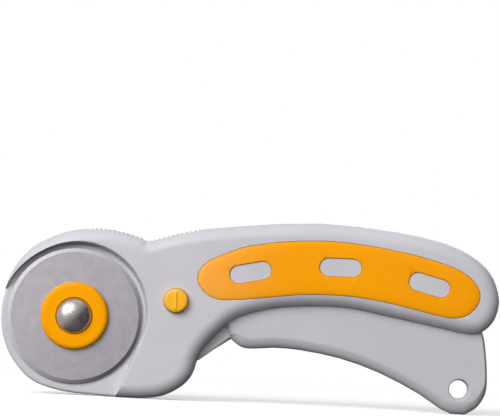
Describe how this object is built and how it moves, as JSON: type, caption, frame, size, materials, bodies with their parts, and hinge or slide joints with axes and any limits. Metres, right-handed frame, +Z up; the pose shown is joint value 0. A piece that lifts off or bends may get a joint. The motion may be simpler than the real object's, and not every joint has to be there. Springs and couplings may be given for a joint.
{
  "type": "rotary cutter",
  "caption": "Squeeze-handle rotary fabric cutter: arched two-shell grip with inlays, hinged trigger lever carrying a round blade, lock button and rear clamping nut.",
  "frame": {"origin": "bottom centre of the bounding box, on the plane the heel flat and the trigger's tail flat stand on", "axes": "+X from the blade to the tail, -Y out of the front face that carries the blade, +Z up through the back of the handle"},
  "size_m": [0.1658, 0.0246, 0.0613],
  "materials": {
    "body_plastic": "satin light grey moulded plastic",
    "trigger_plastic": "satin grey moulded plastic, a shade darker",
    "grip_rubber": "soft orange elastomer",
    "orange_plastic": "semi-gloss orange moulded plastic",
    "blade_steel": "ground tool steel with a bright bevel",
    "bolt_steel": "satin turned steel",
    "spring_steel": "drawn spring wire and rolled strip",
    "insert_brass": "turned brass"
  },
  "bodies": {
    "housing": {"front_housing": "body_plastic", "rear_housing": "body_plastic", "front_grip_inlay": "grip_rubber", "rear_grip_inlay": "grip_rubber", "housing_screw_1": "bolt_steel", "housing_screw_2": "bolt_steel", "housing_screw_3": "bolt_steel", "housing_screw_4": "bolt_steel", "pivot_pin": "bolt_steel", "return_spring": "spring_steel"},
    "lever": {"trigger_lever": "trigger_plastic", "axle_bolt": "bolt_steel"},
    "blade": {"cutting_blade": "blade_steel", "blade_ring": "orange_plastic"},
    "washers": {"thrust_washer": "spring_steel", "wave_washer": "spring_steel"},
    "nut": {"nut_knob": "orange_plastic", "nut_insert": "insert_brass"},
    "lock": {"lock_button": "orange_plastic", "lock_rear_button": "orange_plastic"}
  },
  "joints": [
    {"name": "trigger_squeeze", "type": "hinge", "parent": "housing", "child": "lever", "pos_m": [-0.02818, 0, 0.01115], "axis": [0, -1, 0], "range_deg": [0, 11], "stiffness_Nm_per_rad": 0.95, "springref_deg": -9.17, "deforming": ["return_spring"]},
    {"name": "blade_spin", "type": "hinge", "parent": "lever", "child": "blade", "pos_m": [-0.05829, 0, 0.02634], "axis": [0, -1, 0], "continuous": true},
    {"name": "nut_travel", "type": "slide", "parent": "lever", "child": "washers", "axis": [0, 1, 0], "range_m": [0, 0.002]},
    {"name": "nut_turn", "type": "hinge", "parent": "washers", "child": "nut", "pos_m": [-0.05829, 0, 0.02634], "axis": [0, 1, 0], "range_deg": [0, 720]},
    {"name": "lock_slide", "type": "slide", "parent": "housing", "child": "lock", "axis": [0, 1, 0], "range_m": [0, 0.00365]}
  ],
  "couplings": [
    {"joint": "nut_travel", "follows": "nut_turn", "m_per_rad": 0.00015915}
  ]
}
